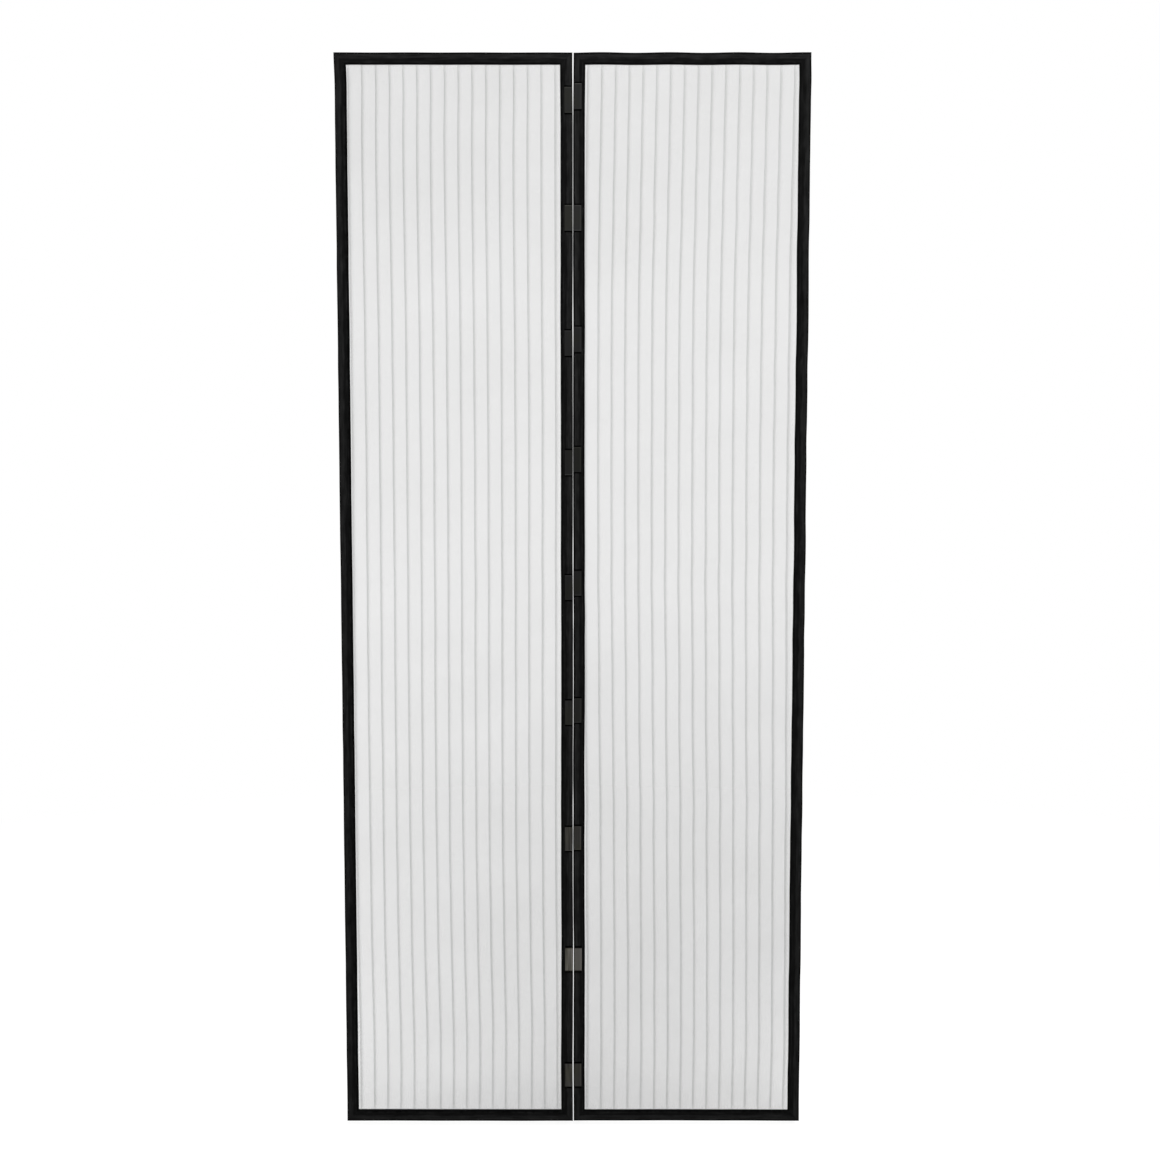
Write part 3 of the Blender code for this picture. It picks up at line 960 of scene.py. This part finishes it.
def magnetRings(width):
    # A bar with rounded corners as rings of points: its outline drawn inward by a distance at
    # its own depth, over the crowned front, round a quarter circle to the side, and round
    # another to the back. Returns the points, each ring's inward distance, and for each point
    # of the outline whether it is at an end (1) or a side (0).
    half = np.array([width, magnet["length"]]) / 2
    radius, edge = magnet["cornerRadius"], magnet["edgeRadius"]
    turn = np.linspace(0, math.pi / 2, 5)
    corners, atEnd = [], []
    for quarter, signs in enumerate(((1, 1), (-1, 1), (-1, -1), (1, -1))):
        angle = turn + quarter * math.pi / 2
        bend = radius * np.stack([np.cos(angle), np.sin(angle)], 1)
        corners.append(np.array(signs) * (half - radius) + bend)
        atEnd.append(np.abs(np.sin(angle)))
    outline = np.concatenate(corners)
    turn = np.linspace(0, math.pi / 2, 4)
    inward = edge * (1 - np.sin(turn))
    rise = edge * (1 - np.cos(turn))
    front = -magnet["thickness"]
    crowned = front - magnet["crown"] * np.array(magnet["frontCrown"])
    inward = np.concatenate([magnet["frontIn"], inward, inward[::-1]])
    y = np.concatenate([crowned, front + rise, -rise[::-1]])
    flat = outline[None] * ((half - inward[:, None]) / half)[:, None, :]
    deep = np.broadcast_to(y[:, None], flat.shape[:2])
    return np.stack([flat[..., 0], deep, flat[..., 1]], -1), inward, np.concatenate(atEnd)


def addMagnet(sideName, index, height):
    # The bar on its seat, with a painted highlight: full at the rim and gone within its reach,
    # with its own strength at the upper end, the lower end and the right side
    width = magnet["width"][sideName]
    rings, inward, atEnd = magnetRings(width)
    across = magnet["inset"][sideName] + width / 2 + sides[sideName] * rings[..., 0]
    points = hang(sideName, across, magnet["seatY"] + rings[..., 1], height + rings[..., 2])
    full, reach = magnetLook["highlightFull"], magnetLook["highlightReach"]
    # The share of the painted highlight, full at the rim and gone within its reach
    rubbed = 1 - smoothStep(inward, full, reach)[:, None]
    ends = np.where(rings[..., 2] > 0, magnetLook["topWear"][sideName][index - 1],
                    magnetLook["footHighlight"][sideName][index - 1])
    flank = np.where(rings[..., 0] > 0, magnetLook["sideWear"][sideName], 0)
    wear = rubbed * (atEnd * ends + (1 - atEnd) * flank)
    values = {"wear": wear, "dust": magnetLook["dust"][index - 1]}
    for label in ("tone", "streaks"):
        values[label] = magnetLook[label][sideName][index - 1]
    piece = makeTube(f"magnet_{sideName}_{index}", points, materials["magnet"], 60,
                     values=values)
    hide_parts(f"magnet_{sideName}_{index}")


def addTacks(sideName, heights):
    # At each end of a magnet, a dense zigzag of thread across its width, in a darker thread
    # that also carries painted shade at the magnet's end. A stitch rises from the tape to a
    # knee just off the magnet's end, and goes on over its front.
    count, clear = magnet["tackStitches"], magnet["tackIn"]
    across = np.linspace(clear, magnet["width"][sideName] - clear, count)
    across = magnet["inset"][sideName] + across
    lean = magnet["tackLean"] * np.where(np.arange(count) % 2, 1, -1)
    climb = magnet["tackTapeY"] - magnet["tackMagnetY"]
    rows = []
    for end, label in ((-1, "foot"), (1, "top")):
        for height, over in zip(heights, magnet["tackOver"][label]):
            along = end * np.array([magnet["tackOut"], magnet["tackKnee"], -over / 1000])
            shape = stitchPoints(along, (0, climb, climb), magnet["tackRadius"])
            z = height + end * magnet["length"] / 2
            rows.append(sewRow(across, magnet["tackTapeY"], z, lean, 1, shape))
    addStitches("magnet_tacks_", sideName, np.concatenate(rows), "tackThreadAndShade")


def addMagnets(sideName):
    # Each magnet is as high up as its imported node
    heights = []
    for index in range(1, 10):
        low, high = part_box(f"magnet_{sideName}_{index}")
        heights.append((low[2] + high[2]) / 2)
        addMagnet(sideName, index, heights[-1])
    addTacks(sideName, heights)


# Loop strips

strip = {
    "ground": 0.0007,
    "selvedge": 0.0012,  # bare at each side
    "pileFrom": 0.9,  # of the selvedge, where the pile starts, and over how much it rises
    "pileOver": 0.7,
    "shortest": 0.55,  # tuft, against the tallest
    "step": 0.0022,
    "columns": 18,
    "seed": {"top": 7, "side": 8},
}


def addStrip(place, sideName):
    # A closed section of woven ground with a pile on its back face, carried along the strip.
    # The pile is seeded noise, point by point, and falls away at the bare selvedges.
    node = f"{place}_loop_strip_{sideName}"
    low, high = (np.array(corner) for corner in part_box(node))
    along, across = (0, 2) if place == "top" else (2, 0)
    length, width = (high - low)[[along, across]]
    bare = strip["selvedge"]
    w = np.linspace(0, width, strip["columns"])[2:-2]
    w = np.concatenate([[0, bare], w, [width - bare, width]])
    count = int(length / strip["step"]) + 1
    rng = np.random.default_rng(strip["seed"][place])
    tufts = rng.uniform(strip["shortest"], 1.0, (count, len(w)))
    start = bare * strip["pileFrom"]
    pile = plateau(w, start, width - start, bare * strip["pileOver"])
    ground = low[1] + strip["ground"]
    raised = ground + (high[1] - ground) * tufts * pile
    points = np.empty((count, len(w) + 2, 3))
    points[..., along] = low[along] + np.linspace(0, length, count)[:, None]
    points[..., across] = low[across] + np.append(w, [width, 0])
    points[..., 1] = np.append(raised, np.full((count, 2), low[1]), axis=1)
    piece = makeTube(node, points, materials["loop"], 80)
    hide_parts(node)


for sideName in sides:
    addNet(sideName)
    for number, edge in enumerate(edges):
        addTape(edge, sideName, 10 * number + sides[sideName])
    addSeams(sideName)
    addMagnets(sideName)
    addStrip("top", sideName)
    addStrip("side", sideName)
    print(sideName, "leaf made")


# Camera, light and ground

view = {
    "place": (0.0137, -4.85, 1.7424),  # eye height, in front of the doorway
    "pitchDown": 7.6294,
    "roll": -0.015,
    "lens": 78.06,
    "sensor": 36,
    "farthest": 200,
}

light = {
    "fill": 0.50,
    "lampPlace": (0.5, -2.4, 3.5),
    "lampAim": (0, 0, 1.3),
    "lampSize": 1.6,
    "lampPower": 75,
    "floorLevel": -0.012,
    "floorReach": 60,
    "floorShade": 0.5,
    "floorGlow": 0.78,  # what the camera sees on top of the lit floor
    "whiteFrom": 1.0,  # the floor turns to plain white between these distances
    "whiteBy": 3.2,
}


def addCamera():
    data = bpy.data.cameras.new("camera")
    data.lens = view["lens"]
    data.sensor_width = view["sensor"]
    data.clip_end = view["farthest"]
    camera = addObject("camera", data)
    camera.location = view["place"]
    camera.rotation_euler = (math.radians(90 - view["pitchDown"]),
                             math.radians(view["roll"]), 0)
    bpy.context.scene.camera = camera


def seenRays(tree):
    # 1 for rays that show the surroundings: to the camera, in a gloss or through glass
    path = tree.nodes.new("ShaderNodeLightPath").outputs
    seen = calc(tree, "MAXIMUM", path["Is Camera Ray"], path["Is Glossy Ray"])
    return calc(tree, "MAXIMUM", seen, path["Is Transmission Ray"])


def addWorld():
    # White to look at, and an even fill to light by
    world = bpy.data.worlds.new("studio")
    world.use_nodes = True
    tree = world.node_tree
    background = tree.nodes["Background"]
    background.inputs["Color"].default_value = (1, 1, 1, 1)
    strength = remap(tree, seenRays(tree), 0.0, 1.0, light["fill"], 1.0)
    tree.links.new(strength, background.inputs["Strength"])
    bpy.context.scene.world = world


def addLamp():
    data = bpy.data.lights.new("softbox", "AREA")
    data.shape = "SQUARE"
    data.size = light["lampSize"]
    data.energy = light["lampPower"]
    lamp = addObject("softbox", data)
    lamp.location = light["lampPlace"]
    aim = np.array(light["lampAim"]) - np.array(light["lampPlace"])
    flat = math.hypot(aim[0], aim[1])
    lamp.rotation_euler = (math.atan2(flat, -aim[2]), 0, math.atan2(-aim[0], aim[1]))


def addFloor():
    # A pale floor that takes the shadow, lifted to white where it is seen
    reach, level, shade = light["floorReach"], light["floorLevel"], light["floorShade"]
    mesh = bpy.data.meshes.new("floor")
    mesh.from_pydata([(-reach, -reach, level), (reach, -reach, level),
                      (reach, reach, level), (-reach, reach, level)], [], [(0, 1, 2, 3)])
    floor = addObject("floor", mesh)
    material, tree, shader = newMaterial("floor", 1.0, 0.0)
    seen = seenRays(tree)
    feedNode(tree, shader, Base_Color=(shade, shade, shade, 1), Emission_Color=(1, 1, 1, 1),
             Emission_Strength=calc(tree, "MULTIPLY", seen, light["floorGlow"]))
    # Farther off it is the same white as the surroundings, so no horizon shows
    length = tree.nodes.new("ShaderNodeVectorMath")
    length.operation = "LENGTH"
    tree.links.new(objectNode(tree), length.inputs[0])
    far = remap(tree, length.outputs["Value"], light["whiteFrom"], light["whiteBy"], 0.0, 1.0)
    white = addNode(tree, "Emission")
    mix = addNode(tree, "MixShader", Fac=calc(tree, "MULTIPLY", seen, far))
    tree.links.new(shader.outputs[0], mix.inputs[1])
    tree.links.new(white.outputs[0], mix.inputs[2])
    tree.links.new(mix.outputs[0], tree.nodes["Material Output"].inputs["Surface"])
    mesh.materials.append(material)


addCamera()
addWorld()
addLamp()
addFloor()
bpy.context.scene.view_settings.view_transform = "Standard"
print("camera and light ready")
